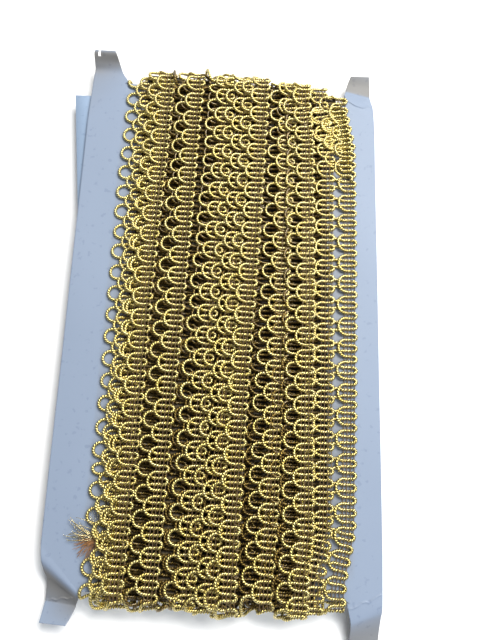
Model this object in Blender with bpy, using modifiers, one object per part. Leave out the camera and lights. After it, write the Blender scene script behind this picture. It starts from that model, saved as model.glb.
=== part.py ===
"""Gold loop-edged gimp braid, wound lengthwise round a pale card with four ears.

The piece lies on its back. X runs to the right across the card, Y up its length and Z out of
its front. The origin is under the middle of the card, on the surface that it lies on.
Sizes in the tables are millimetres. Across the card they are measured from the card's left edge.
"""

import math
import random
from collections import namedtuple

import bmesh
import bpy
from mathutils import Vector

MM = 0.001

# Card
CARD_WIDTH = 130.0
CARD_THICKNESS = 1.0
NOTCH_LEFT = 16.2
NOTCH_RIGHT = 117.0
NOTCH_HEAD_LEFT = 110.0
NOTCH_HEAD_RIGHT = 102.5
NOTCH_FOOT = -106.4
SIDE_END = 90.0
GAP = 0.3

# Braid
REPEAT = 9.2
CORD = 1.2
LAYER = 1.3
BACK_LAYERS = 4

# Winding
RUN_SHORT = 0.3
RUN_LENGTH = 219.0
RIM_SLACK = 1.25
SQUEEZE_FROM = 78.0
SQUEEZE_OVER = 27.0
LOOP_SCALLOP = 2.8
COMB_SCALLOP = 1.7
LOOP_EDGE_DROP = 0.35
LOOP_PIT = 1.0
LOOP_PIT_SHARE = 0.45
STEP_WIDTH = 0.35
COVERED_LOOP = 0.7
FRONT_SAMPLES = 3
BACK_SAMPLES = 2
RIM_ANGLES = (25.0, 68.0, 112.0, 155.0)

# Heights over the surface
SLOT_BOTTOM = BACK_LAYERS * LAYER
BACK_CARD_Z = SLOT_BOTTOM + GAP
FRONT_CARD_Z = BACK_CARD_Z + CARD_THICKNESS + GAP
SLOT_TOP = FRONT_CARD_Z + CARD_THICKNESS + GAP

# One row for each run of braid that shows. Reach is the outermost point of its round loops, comb
# the left side of its heading with the flat loops, right the heading's plain edge. Lean is how far
# the run's top stands to the right of its foot, squeeze how far the notch pulls its ends left.
Run = namedtuple("Run", "name reach comb right lean squeeze level")
FRONT_RUNS = (
    Run("second", 22.2, 26.6, 27.2, 0.8, 0.0, 1),
    Run("outer", 24.2, 28.4, 35.8, 5.5, 0.0, 2),
    Run("left", 36.3, 41.5, 49.6, 6.3, 0.0, 2),
    Run("middle_low", 51.0, 55.4, 63.5, 6.3, 0.0, 2),
    Run("middle_mid", 59.3, 63.8, 71.6, 6.2, 0.0, 3),
    Run("middle_top", 66.8, 71.6, 78.8, 7.0, 0.0, 4),
    Run("right_low", 80.1, 84.8, 92.4, 6.0, 0.6, 2),
    Run("right_top", 91.2, 95.6, 103.2, -1.3, 2.2, 3),
    Run("inner_edge", 99.1, 104.4, 111.6, 1.0, 4.2, 1),
    Run("edge", 108.4, 112.9, 120.9, 1.8, 5.7, 0),
)
BACK_RUNS = (
    Run("second", 22.2, 26.4, 28.0, 0.8, 0.0, 1),
    Run("outer", 25.2, 29.8, 37.8, 2.5, 0.0, 3),
    Run("left", 38.4, 42.8, 50.8, 3.0, 0.0, 1),
    Run("middle_low", 47.4, 51.8, 60.0, 3.0, 0.0, 2),
    Run("middle_mid", 56.0, 60.4, 68.6, 3.0, 0.0, 3),
    Run("middle_top", 69.0, 73.4, 81.5, 3.0, 0.0, 3),
    Run("right_low", 81.9, 86.3, 94.4, 3.0, 0.6, 1),
    Run("right_top", 90.8, 95.2, 103.3, 2.5, 2.0, 3),
    Run("inner_edge", 98.8, 103.2, 111.4, 2.0, 4.0, 1),
    Run("edge", 108.4, 112.9, 120.9, 1.8, 5.7, 0),
)

# One row for each fold line of an ear: its place on the outer and the inner side, and how far the
# card there stands in front of its own plane, or behind it where the number is negative.
Fold = namedtuple("Fold", "outer outer_y inner inner_y outer_lift inner_lift")
TOP_LEFT_EAR = (
    Fold(0.5, 110.6, 16.9, 110.8, -0.2, 0.0),
    Fold(0.6, 116.9, 13.8, 115.9, -1.0, -0.9),
    Fold(0.6, 119.7, 12.2, 119.8, 1.0, 0.8),
    Fold(0.6, 122.0, 11.1, 121.8, 4.6, 4.3),
    Fold(1.1, 123.4, 10.4, 123.2, 5.3, 5.1),
)
TOP_RIGHT_EAR = (
    Fold(129.7, 100.7, 117.0, 105.6, -0.3, 0.0),
    Fold(129.3, 106.3, 116.8, 109.3, -2.4, -1.2),
    Fold(129.1, 110.4, 117.5, 112.1, -4.2, -2.6),
    Fold(128.9, 115.5, 118.5, 115.6, -3.4, -2.0),
    Fold(128.5, 119.7, 119.8, 118.8, -1.8, -0.8),
)
BOTTOM_LEFT_EAR = (
    Fold(0.8, -96.0, 16.2, -107.6, 0.0, 0.0),
    Fold(1.6, -100.3, 15.8, -109.0, -2.4, -0.7),
    Fold(2.5, -103.6, 15.5, -110.1, -4.4, -1.4),
    Fold(2.3, -110.7, 14.8, -111.7, -6.0, -2.8),
    Fold(2.2, -114.7, 13.7, -115.0, -3.6, -2.2),
    Fold(2.1, -117.8, 12.1, -118.3, -1.6, -0.6),
)
BOTTOM_RIGHT_EAR = (
    Fold(129.7, -105.2, 116.4, -107.6, 0.0, 0.0),
    Fold(129.6, -109.3, 117.7, -113.3, -0.5, -0.5),
    Fold(129.4, -112.4, 117.9, -116.0, -2.2, -1.6),
    Fold(129.1, -118.3, 117.8, -119.6, -4.8, -3.4),
    Fold(128.7, -124.2, 118.1, -124.2, -6.0, -5.4),
)
# Corners of the second sheet, which is tapered and shows past the first at the upper left.
BACK_SHEET = ((-7.5, 104.0), (123.0, 100.4), (123.0, -101.0), (18.0, -103.5))

# Open loops that stand over the bare card at the left edge, counted from the card's middle
LAST_LOOP = 11
EDGE_LEAN = 0.8
EDGE_REACH = 16.4
EDGE_LOOP_RADIUS = 3.05
EDGE_STRIP_LEFT = 20.7
EDGE_STRIP_WIDTH = 1.1
EDGE_ARC_STEPS = 5
PACKED = 3.4
PACKED_FROM = -55.0
PACKED_OVER = 15.0
FRAY_LOOP = -10
BACK_MISSING = 9

# Frayed end
FRAY_ROOT_DEPTH = 1.6
FRAY_RISE = 1.2
FRAY_CELL = 0.55
FRAY_ROWS = 2
FRAY_INSET = 0.12
FRAY_BENDS = ((0.45, 0.6), (0.55, 0.4))
FRAY_ROW_SHORTER = 0.18
FRAY_UNEVEN = 0.12
FRAY_ROW_LIFT = 0.35
FRAY_SEED = 5
# Each row is a bunch of strands along the root: how many, and the angle and length of its first
# and last one. An angle of 0 points left, and it grows towards the foot of the card.
Bunch = namedtuple("Bunch", "name count angle_from angle_to length_from length_to lift")
BUNCHES = (
    Bunch("thin_wires", 2, -46.0, -38.0, 9.0, 8.0, 1.4),
    Bunch("gold_wires", 6, -28.0, 8.0, 9.0, 10.5, 2.6),
    Bunch("core_threads", 5, 18.0, 54.0, 7.5, 6.0, 1.2),
)

COLOURS = {
    "gold": ((0.52, 0.40, 0.11, 1.0), 0.32, 0.85),
    "card": ((0.47, 0.56, 0.74, 1.0), 0.8, 0.0),
    "thread": ((0.50, 0.23, 0.09, 1.0), 0.7, 0.1),
}


def clear_scene():
    for obj in list(bpy.data.objects):
        bpy.data.objects.remove(obj, do_unlink=True)


def make_collection(name):
    collection = bpy.data.collections.new(name)
    bpy.context.scene.collection.children.link(collection)
    return collection


def make_material(name, colour_name):
    colour, roughness, metallic = COLOURS[colour_name]
    material = bpy.data.materials.new(name)
    material.use_nodes = True
    shader = material.node_tree.nodes["Principled BSDF"]
    shader.inputs["Base Color"].default_value = colour
    shader.inputs["Roughness"].default_value = roughness
    shader.inputs["Metallic"].default_value = metallic
    material.diffuse_color = colour
    return material


def object_from(mesh_data, name, colour_name, collection):
    mesh = bpy.data.meshes.new(name)
    mesh_data.to_mesh(mesh)
    mesh_data.free()
    mesh.materials.append(make_material(name, colour_name))
    obj = bpy.data.objects.new(name, mesh)
    collection.objects.link(obj)
    return obj


def place(x_from_edge, y, z):
    """A point in metres, from millimetres across the card, along it and above the surface."""
    return Vector(((x_from_edge - CARD_WIDTH / 2) * MM, y * MM, z * MM))


def ease(t):
    t = min(max(t, 0.0), 1.0)
    return t * t * (3.0 - 2.0 * t)


def notch_y(x, end):
    """Where the card ends between its ears: a slanting line at the head, a level one at the foot."""
    if end < 0:
        return NOTCH_FOOT
    share = (x - NOTCH_LEFT) / (NOTCH_RIGHT - NOTCH_LEFT)
    return NOTCH_HEAD_LEFT + (NOTCH_HEAD_RIGHT - NOTCH_HEAD_LEFT) * share


def run_y(x, share):
    """The height on the card at a share of the way up the straight part of a run."""
    foot = notch_y(x, -1) + RUN_SHORT
    head = notch_y(x, 1) - RUN_SHORT
    return foot + (head - foot) * share


def bulge(phase):
    """How far a scallop stands out, 0 in the valley between two loops and 1 at a loop."""
    return min(1.0, (0.5 + 0.5 * math.cos(2.0 * math.pi * phase)) / 0.75)


def run_shift(run, y):
    pull = ease((abs(y) - SQUEEZE_FROM) / SQUEEZE_OVER)
    return run.lean * y / RUN_LENGTH - run.squeeze * pull


def is_covered(runs, index):
    """Whether the loops of a run lie hidden under the run to its left."""
    before = runs[index - 1]
    return index > 0 and before.level > runs[index].level and before.right > runs[index].reach


def stations(runs, y, phase, pit):
    """The stepped section across all runs at one height: x and the depth of braid there."""
    loop_back = LOOP_SCALLOP * (1.0 - bulge(phase))
    comb_back = COMB_SCALLOP * (1.0 - bulge(phase + 0.5))
    lefts = [run.reach + run_shift(run, y) + loop_back for run in runs]
    lefts[0] -= loop_back
    points = []
    for index, run in enumerate(runs):
        top = run.level * LAYER + LAYER
        foot = run.level * LAYER if index else top - LOOP_EDGE_DROP
        edge = top - LOOP_EDGE_DROP
        left = lefts[index]
        comb = run.comb + run_shift(run, y) + comb_back
        right = run.right + run_shift(run, y)
        if is_covered(runs, index):
            left = points[-1][0] + STEP_WIDTH
            comb = left + COVERED_LOOP
            foot = top
            edge = top
        elif index:
            left = max(left, points[-1][0] + STEP_WIDTH)
        if index + 1 < len(runs) and runs[index + 1].level >= run.level:
            right = min(right, lefts[index + 1] - STEP_WIDTH)
        comb = min(comb, right - STEP_WIDTH)
        inside = left + STEP_WIDTH
        inside += (comb - inside) * LOOP_PIT_SHARE
        sunk = edge if is_covered(runs, index) else edge - pit * bulge(phase)
        points += [(left, foot), (left + STEP_WIDTH, edge), (inside, sunk)]
        points += [(comb, top), (right, top)]
    return points


def face_rows(runs, samples, side):
    """Rows of points along one face of the winding, from the foot to the head of the card."""
    middle = CARD_WIDTH / 2.0
    foot = run_y(middle, 0.0)
    head = run_y(middle, 1.0)
    count = round((head - foot) / REPEAT * samples)
    rows = []
    for index in range(count + 1):
        share = index / count
        phase = index / samples + 0.5
        base = SLOT_TOP if side > 0 else SLOT_BOTTOM
        section = stations(runs, foot + (head - foot) * share, phase, LOOP_PIT)
        rows.append([(x, run_y(x, share), base + side * depth) for x, depth in section])
    return rows


def rim_rows(row_from, row_to, end):
    """Rows round the card's end, from one face of the winding to the other."""
    rows = []
    for angle in RIM_ANGLES:
        turn = math.radians(angle)
        share = angle / 180.0
        row = []
        for start, finish in zip(row_from, row_to):
            layers = (abs(start[2] - finish[2]) - (SLOT_TOP - SLOT_BOTTOM)) / 2.0
            reach = RUN_SHORT + GAP + max(layers, LAYER) * RIM_SLACK
            middle = (start[2] + finish[2]) / 2.0
            half = (start[2] - finish[2]) / 2.0
            x = start[0] + (finish[0] - start[0]) * share
            y = notch_y(x, end) + end * (reach * math.sin(turn) - RUN_SHORT)
            row.append((x, y, middle + half * math.cos(turn)))
        rows.append(row)
    return rows


def slot_point(outer, end):
    """The point of the winding's slot behind a point of its face, or of its rim at an end."""
    x, y, z = outer
    if end:
        return (x, notch_y(x, end) + end * GAP, max(SLOT_BOTTOM, min(SLOT_TOP, z)))
    return (x, y, SLOT_TOP if z > SLOT_TOP else SLOT_BOTTOM)


def wound_braid(collection):
    """The whole winding as one ring round the card: a loft through the rows round it."""
    front = face_rows(FRONT_RUNS, FRONT_SAMPLES, 1)
    back = face_rows(BACK_RUNS, BACK_SAMPLES, -1)
    rows = [(row, 0) for row in front]
    rows += [(row, 1) for row in rim_rows(front[-1], back[-1], 1)]
    rows += [(row, 0) for row in reversed(back)]
    rows += [(row, -1) for row in rim_rows(back[0], front[0], -1)]
    mesh = bmesh.new()
    rings = []
    for row, end in rows:
        ring = [mesh.verts.new(place(*point)) for point in row]
        ring.append(mesh.verts.new(place(*slot_point(row[-1], end))))
        ring.append(mesh.verts.new(place(*slot_point(row[0], end))))
        rings.append(ring)
    for index, ring in enumerate(rings):
        following = rings[(index + 1) % len(rings)]
        for at in range(len(ring)):
            after = (at + 1) % len(ring)
            mesh.faces.new((ring[at], ring[after], following[after], following[at]))
    bmesh.ops.recalc_face_normals(mesh, faces=mesh.faces[:])
    return object_from(mesh, "wound_braid", "gold", collection)


def sheet_solid(mesh, name, collection, bottom):
    """Gives a flat sheet its thickness upwards from the height of its lower face."""
    bmesh.ops.recalc_face_normals(mesh, faces=mesh.faces[:])
    if sum(face.normal.z for face in mesh.faces) < 0.0:
        bmesh.ops.reverse_faces(mesh, faces=mesh.faces[:])
    bmesh.ops.translate(mesh, verts=mesh.verts[:], vec=(0.0, 0.0, bottom * MM))
    obj = object_from(mesh, name, "card", collection)
    thickness = obj.modifiers.new("Thickness", "SOLIDIFY")
    thickness.thickness = CARD_THICKNESS * MM
    thickness.offset = 1.0
    return obj


def add_ear(mesh, outer_corner, inner_corner, folds):
    """Continues the sheet from two corners of its body through an ear's fold lines."""
    outer, inner = outer_corner, inner_corner
    for fold in folds:
        next_outer = mesh.verts.new(place(fold.outer, fold.outer_y, fold.outer_lift))
        next_inner = mesh.verts.new(place(fold.inner, fold.inner_y, fold.inner_lift))
        mesh.faces.new((outer, inner, next_inner, next_outer))
        outer, inner = next_outer, next_inner


def front_card(collection):
    mesh = bmesh.new()
    columns = (0.0, NOTCH_LEFT, NOTCH_RIGHT, CARD_WIDTH)
    low_y = (-SIDE_END, NOTCH_FOOT, NOTCH_FOOT, -SIDE_END)
    high_y = (SIDE_END, NOTCH_HEAD_LEFT, NOTCH_HEAD_RIGHT, SIDE_END)
    low = [mesh.verts.new(place(x, y, 0.0)) for x, y in zip(columns, low_y)]
    high = [mesh.verts.new(place(x, y, 0.0)) for x, y in zip(columns, high_y)]
    for at in range(len(columns) - 1):
        mesh.faces.new((low[at], low[at + 1], high[at + 1], high[at]))
    add_ear(mesh, high[0], high[1], TOP_LEFT_EAR)
    add_ear(mesh, high[3], high[2], TOP_RIGHT_EAR)
    add_ear(mesh, low[0], low[1], BOTTOM_LEFT_EAR)
    add_ear(mesh, low[3], low[2], BOTTOM_RIGHT_EAR)
    return sheet_solid(mesh, "front_card", collection, FRONT_CARD_Z)


def back_card(collection):
    mesh = bmesh.new()
    mesh.faces.new([mesh.verts.new(place(x, y, 0.0)) for x, y in BACK_SHEET])
    return sheet_solid(mesh, "back_card", collection, BACK_CARD_Z)


def arc_section(centre, turn, low, high):
    """Four points of a loop's square strand where it crosses one radius of its arc."""
    inner = EDGE_LOOP_RADIUS - CORD / 2.0
    outer = EDGE_LOOP_RADIUS + CORD / 2.0
    points = []
    for radius, z in ((inner, low), (outer, low), (outer, high), (inner, high)):
        x = centre[0] - radius * math.cos(turn)
        y = centre[1] + radius * math.sin(turn)
        points.append(place(x, y, z))
    return points


def loop_y(number):
    """The height of an edge loop: evenly spaced, but pushed together above the foot."""
    even = REPEAT * number
    return even + PACKED * ease((PACKED_FROM - even) / PACKED_OVER)


def edge_loops(name, low, missing, collection):
    """A narrow strip along the winding's left edge with a row of open loops standing from it."""
    mesh = bmesh.new()
    high = low + CORD
    inner = EDGE_LOOP_RADIUS - CORD / 2.0
    outer = EDGE_LOOP_RADIUS + CORD / 2.0
    rings = []
    open_faces = set()
    legs = []
    for number in range(-LAST_LOOP, LAST_LOOP + 1):
        middle = loop_y(number)
        shift = EDGE_LEAN * middle / RUN_LENGTH
        if number != missing:
            open_faces.update((len(rings), len(rings) + 2))
            legs.append((len(rings), middle, shift))
        for offset in (-outer, -inner, inner, outer):
            y = middle + offset
            left = EDGE_STRIP_LEFT + shift
            corners = (
                (left, low),
                (left, high),
                (left + EDGE_STRIP_WIDTH, high),
                (left + EDGE_STRIP_WIDTH, low),
            )
            rings.append([mesh.verts.new(place(x, y, z)) for x, z in corners])
    for index, (ring, following) in enumerate(zip(rings, rings[1:])):
        for at in range(4):
            if at == 0 and index in open_faces:
                continue
            after = (at + 1) % 4
            mesh.faces.new((ring[at], following[at], following[after], ring[after]))
    mesh.faces.new(rings[0])
    mesh.faces.new(reversed(rings[-1]))
    for first, middle, shift in legs:
        centre = (EDGE_REACH + outer + shift, middle)
        loop = [(rings[first + 1][0], rings[first][0], rings[first][1], rings[first + 1][1])]
        for step in range(EDGE_ARC_STEPS + 1):
            turn = math.radians(-90.0 + 180.0 * step / EDGE_ARC_STEPS)
            loop.append([mesh.verts.new(p) for p in arc_section(centre, turn, low, high)])
        low_inner, low_outer = rings[first + 2][0], rings[first + 3][0]
        high_inner, high_outer = rings[first + 2][1], rings[first + 3][1]
        loop.append((low_inner, low_outer, high_outer, high_inner))
        for ring, following in zip(loop, loop[1:]):
            for at in range(4):
                after = (at + 1) % 4
                mesh.faces.new((ring[at], ring[after], following[after], following[at]))
    bmesh.ops.recalc_face_normals(mesh, faces=mesh.faces[:])
    return object_from(mesh, name, "gold", collection)


def frayed_end(collection):
    """The cut end of the braid: strands in rows, fused at their roots into a short sheaf."""
    middle = loop_y(FRAY_LOOP) + FRAY_RISE
    strands = [
        (bunch, at / max(bunch.count - 1, 1)) for bunch in BUNCHES for at in range(bunch.count)
    ]
    right = EDGE_STRIP_LEFT - 2.0 * GAP
    left = right - FRAY_ROOT_DEPTH
    top_y = middle + len(strands) * FRAY_CELL / 2.0
    low = SLOT_TOP
    mesh = bmesh.new()
    near = []
    far = []
    for row in range(FRAY_ROWS + 1):
        z = low + row * FRAY_CELL
        near.append([])
        far.append([])
        for column in range(len(strands) + 1):
            y = top_y - column * FRAY_CELL
            near[-1].append(mesh.verts.new(place(left, y, z)))
            far[-1].append(mesh.verts.new(place(right, y, z)))
    cells = []
    for row in range(FRAY_ROWS):
        for column in range(len(strands)):
            for grid, face_list in ((near, cells), (far, None)):
                face = mesh.faces.new(
                    (
                        grid[row][column],
                        grid[row][column + 1],
                        grid[row + 1][column + 1],
                        grid[row + 1][column],
                    )
                )
                if face_list is not None:
                    face_list.append((face, row, column))
    for column in range(len(strands)):
        for row in (0, FRAY_ROWS):
            mesh.faces.new(
                (near[row][column], near[row][column + 1], far[row][column + 1], far[row][column])
            )
    for row in range(FRAY_ROWS):
        for column in (0, len(strands)):
            mesh.faces.new(
                (near[row][column], near[row + 1][column], far[row + 1][column], far[row][column])
            )
    bmesh.ops.recalc_face_normals(mesh, faces=mesh.faces[:])
    draw = random.Random(FRAY_SEED)
    for face, row, column in cells:
        bunch, share = strands[column]
        angle = bunch.angle_from + (bunch.angle_to - bunch.angle_from) * share
        length = bunch.length_from + (bunch.length_to - bunch.length_from) * share
        length *= 1.0 - FRAY_ROW_SHORTER * row - FRAY_UNEVEN * draw.random()
        turn = math.radians(angle)
        along = Vector((-math.cos(turn), -math.sin(turn), 0.0))
        rise = bunch.lift * (FRAY_ROW_LIFT + row)
        bmesh.ops.inset_individual(mesh, faces=[face], thickness=FRAY_INSET * MM)
        for share_along, share_rise in FRAY_BENDS:
            step = along * (length * share_along * MM)
            step.z = rise * share_rise * MM
            extruded = bmesh.ops.extrude_discrete_faces(mesh, faces=[face])
            face = extruded["faces"][0]
            bmesh.ops.translate(mesh, verts=face.verts[:], vec=step)
    return object_from(mesh, "frayed_end", "thread", collection)


def main():
    clear_scene()
    collection = make_collection("gimp_braid_on_card")
    wound_braid(collection)
    front_card(collection)
    back_card(collection)
    edge_loops("edge_loops_front", SLOT_TOP, FRAY_LOOP, collection)
    edge_loops("edge_loops_back", SLOT_BOTTOM - CORD, BACK_MISSING, collection)
    frayed_end(collection)


main()
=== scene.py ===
"""Gold loop-edged gimp braid wound lengthwise round a pale card: the finish of every surface.

X runs across the card, Y up its length and Z out of its front. Sizes in the tables are millimetres,
and places across the card are measured from its left edge.
"""

import math
import random
from collections import namedtuple

import bpy
import numpy as np
from mathutils import Matrix, Vector


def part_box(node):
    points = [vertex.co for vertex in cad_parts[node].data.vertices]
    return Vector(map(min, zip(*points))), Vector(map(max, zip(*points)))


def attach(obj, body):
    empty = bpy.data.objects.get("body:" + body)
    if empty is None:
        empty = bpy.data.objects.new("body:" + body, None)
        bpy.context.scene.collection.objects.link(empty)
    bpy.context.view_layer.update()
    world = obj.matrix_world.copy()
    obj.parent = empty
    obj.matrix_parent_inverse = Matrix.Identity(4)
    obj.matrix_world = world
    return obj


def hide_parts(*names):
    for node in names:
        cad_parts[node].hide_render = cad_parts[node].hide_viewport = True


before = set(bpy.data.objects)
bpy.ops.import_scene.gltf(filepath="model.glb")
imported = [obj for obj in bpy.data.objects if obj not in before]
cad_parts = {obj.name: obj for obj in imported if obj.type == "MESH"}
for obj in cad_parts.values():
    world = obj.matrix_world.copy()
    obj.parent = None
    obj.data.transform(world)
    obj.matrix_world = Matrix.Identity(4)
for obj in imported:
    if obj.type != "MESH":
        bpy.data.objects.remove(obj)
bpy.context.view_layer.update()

MM = 0.001

# Card, as in the frame. Its ears rise above its face, so the face is measured from the loops that
# lie over it.
CARD_WIDTH = 130.0
NOTCH_LEFT = 16.2
NOTCH_RIGHT = 117.0
NOTCH_HEAD_LEFT = 110.0
NOTCH_HEAD_RIGHT = 102.5
NOTCH_FOOT = -106.4
LAID_OVER = 0.3
CARD_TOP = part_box("edge_loops_front")[0].z / MM - LAID_OVER
BACK_CARD_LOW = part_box("back_card")[0].z / MM
BACK_CARD_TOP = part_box("back_card")[1].z / MM
SHEET = 0.5
SHEET_BEVEL = 0.1

# Braid. Places along it are shares of a repeat, and its passes lie at the odd eighths. The twist
# of its threads is in turns for each metre.
REPEAT = 9.2
EIGHTH = 0.125
SLIP = 0.012
BRAID_WIDTH = 13.0
CORD_RADIUS = 0.64
SWOLLEN = 1.16
PINCHED = 0.52
PINCH_DROP = 0.2
BED = 0.04
LAYER = 1.3
PLY_PITCH = 0.98
METAL_PITCH = 0.22
HEADING = 6.1
THREADS = (1.2, 2.65, 4.1, 5.5)
THREAD_RADIUS = 0.17
THREAD_TWIST = 1600.0
THREAD_OVER = 0.86
THREAD_BETWEEN = 0.42
U_TURN_START = 1.75
U_TURN_APEX = 0.5
COMB_START = 5.2
COMB_DEPTH = 3.2
COMB_RISE = 0.7
LOOP_CENTRE = 9.3
LOOP_RADIUS = 3.05
LOOP_LEG_AT = 0.372
LOOP_LEG_DROP = 0.16
LOOP_OPEN_ANGLE = 112.0
LOOP_STEPS = 15

# Sides of a swept cord, and of one that is fine or lies beneath the others
CORD_SIDES = 6
FINE_SIDES = 4

# How far the notches pull the ends of the right-hand runs to the left
SQUEEZE_FROM = 78.0
SQUEEZE_OVER = 27.0
RUN_LENGTH = 219.0

# Where the braid turns round each end of the card: how far inside its edge it starts, how far it
# stands off, and how much looser it gets with each layer.
Turn = namedtuple("Turn", "start stand_off slack")
HEAD_TURN = Turn(0.6, 1.2, 1.3)
FOOT_TURN = Turn(-0.6, 1.1, 0.8)

# Near the foot of the left edge the braid is pushed together, and let out again behind the card
PACKED_FROM = 55.0
PACKED_OVER = 15.0
LET_OUT_FROM = 120.0
LET_OUT_OVER = 60.0

# One row for each wrap of braid that shows: the plain edge of its run on the front and on the
# back, each with its lean, squeeze and level, a place on the front where a round loop stands, how
# far its left loops are pushed up near the foot, and how much further out it turns at each end.
Wrap = namedtuple(
    "Wrap",
    "name right lean squeeze level back_right back_lean back_squeeze back_level"
    " loop_at packed head foot",
)
WRAPS = (
    Wrap("first", 29.2, 0.8, 0.0, 0.0, 29.2, 0.8, 0.0, 0.0, 0.2, 3.4, 0.4, 0.0),
    Wrap("second", 33.8, 3.0, 0.0, 1.05, 34.6, 1.5, 0.0, 1.0, 7.4, 0.0, 1.0, 0.0),
    Wrap("outer", 36.4, 5.5, 0.0, 2.0, 37.8, 2.5, 0.0, 3.0, 3.2, 0.0, 1.6, 0.0),
    Wrap("left", 49.5, 6.3, 0.0, 2.0, 50.8, 3.0, 0.0, 1.0, 3.4, 0.0, 3.6, 0.6),
    Wrap("middle_low", 63.5, 6.3, 0.0, 2.0, 60.0, 3.0, 0.0, 2.0, 6.0, 0.0, 2.2, 0.0),
    Wrap("middle_mid", 71.6, 6.2, 0.0, 3.0, 68.6, 3.0, 0.0, 3.0, 1.0, 0.0, 1.4, 0.0),
    Wrap("middle_top", 78.8, 7.0, 0.0, 4.0, 81.5, 3.0, 0.0, 3.0, 5.2, 0.0, 0.8, 0.0),
    Wrap("right_low", 92.4, 6.0, 0.6, 2.0, 94.4, 3.0, 0.6, 1.0, 2.4, 0.0, 3.4, 0.0),
    Wrap("right_top", 103.2, -1.3, 2.0, 3.0, 103.3, 2.5, 2.0, 3.0, 7.0, 0.0, 1.4, 0.6),
    Wrap("inner_edge", 111.6, 1.0, 3.4, 1.05, 111.4, 2.0, 3.4, 1.0, 0.6, 0.0, 4.4, 1.2),
    Wrap("edge", 120.9, 1.8, 4.0, 0.0, 120.9, 1.8, 4.0, 0.0, 3.8, 0.0, 3.0, 1.2),
)
UNDER_WRAPS = (
    Wrap("under_a", 42.2, 3.0, 0.0, 0.0, 42.2, 3.0, 0.0, 0.0, 2.0, 0.0, 1.5, 0.0),
    Wrap("under_b", 54.8, 3.0, 0.0, 0.0, 54.8, 3.0, 0.0, 0.0, 5.0, 0.0, 2.0, 0.0),
    Wrap("under_c", 67.4, 3.0, 0.0, 0.0, 67.4, 3.0, 0.0, 0.0, 8.0, 0.0, 2.0, 0.0),
    Wrap("under_d", 80.0, 3.0, 0.0, 0.0, 80.0, 3.0, 0.0, 0.0, 1.0, 0.0, 2.0, 0.0),
    Wrap("under_e", 92.6, 3.0, 0.5, 0.0, 92.6, 3.0, 0.5, 0.0, 4.0, 0.0, 2.5, 0.5),
    Wrap("under_f", 105.2, 2.0, 2.6, 0.0, 105.2, 2.0, 2.6, 0.0, 7.0, 0.0, 3.0, 1.0),
)
MIDDLE_WRAPS = (
    Wrap("over_a", 48.3, 4.0, 0.0, 1.0, 46.0, 3.0, 0.0, 0.6, 3.0, 0.0, 1.4, 0.0),
    Wrap("over_b", 60.9, 4.0, 0.0, 1.0, 58.0, 3.0, 0.0, 0.8, 6.0, 0.0, 1.2, 0.0),
    Wrap("over_c", 73.5, 4.0, 0.0, 1.0, 74.0, 3.0, 0.0, 0.8, 0.0, 0.0, 2.2, 0.0),
    Wrap("over_d", 86.1, 4.0, 0.3, 1.0, 88.0, 3.0, 0.3, 0.6, 5.0, 0.0, 2.8, 0.0),
    Wrap("over_e", 98.6, 3.0, 1.2, 1.0, 98.4, 3.0, 1.2, 0.8, 8.0, 0.0, 2.8, 0.5),
)

# Short runs on the front: across the low places, and bunched near the right head. Each starts at
# the foot or at a repeat of its own.
BETWEEN_RUNS = (
    Wrap("between_a", 76.0, 6.8, 0.0, 2.0, 76.0, 3.0, 0.0, 1.0, 0.0, 0.0, 0.0, 0.0),
    Wrap("between_b", 98.4, 1.0, 1.4, 2.0, 98.4, 3.0, 1.4, 1.0, 5.0, 0.0, 0.0, 0.0),
)
BETWEEN_FROM = (None, None)
BUNCHED_RUNS = (
    Wrap("bunched_head", 119.4, 1.8, 3.6, 0.9, 119.4, 1.8, 3.6, 0.9, 1.4, 0.0, 2.6, 1.2),
    Wrap("crossed_head", 114.6, 2.2, 3.6, 1.3, 114.6, 2.2, 3.6, 1.3, 4.6, 0.0, 3.0, 1.2),
)
BUNCHED_FROM = (7, 8)

# The round loop of the first wrap that was cut, counted back from where the wrap closes
CUT_LOOP = -10

# Seeds for the small differences between the wraps and in the frayed end. The loops of a wrap
# have a seed so much further on than the seed of its route.
WRAP_SEED = 100
LOWEST_SEED = 300
MIDDLE_SEED = 400
BETWEEN_SEED = 500
BUNCHED_SEED = 700
FRAY_SEED = 31
LOOPS_ON = 100
LOWER_LOOPS_ON = 50

# The inner layers of the winding, of which only dark glimpses show between the cords. Their gold
# is darkened almost to black with painted shade.
INNER_LEFT = 25.5
INNER_RIGHT = 108.5
INNER_PULL = 4.5
INNER_OVER = 0.35
INNER_BELOW = 0.7
INNER_PAST = 0.6
INNER_WIDER = 4.0
INNER_WIDER_FROM = 84.0
INNER_WIDER_OVER = 12.0
INNER_ROWS = 40
INNER_COLUMNS = 60
INNER_RIM_STEPS = 8

# Steps along a wrap's route, and how far it strays sideways and outwards
GUIDE_STEP = 0.4
RIM_STEPS = 24
CLOSING_STEP = 0.6
WANDER = 0.28
LIFT_WANDER = 0.1

# Rows and columns of the card, and the painted shade that greys it under the winding
STRAIGHT_END = 90.0
ROW_STEP = 0.32
STRIP_COLUMNS = 36
BODY_ROWS = 40
WINDING_SHADE = 0.5
WINDING_SHADE_LEFT = 15.0
WINDING_SHADE_RIGHT = 120.0
WINDING_SHADE_OVER = 3.5
WINDING_SHADE_END = 97.0
MIDDLE_COLUMNS = 12
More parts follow.
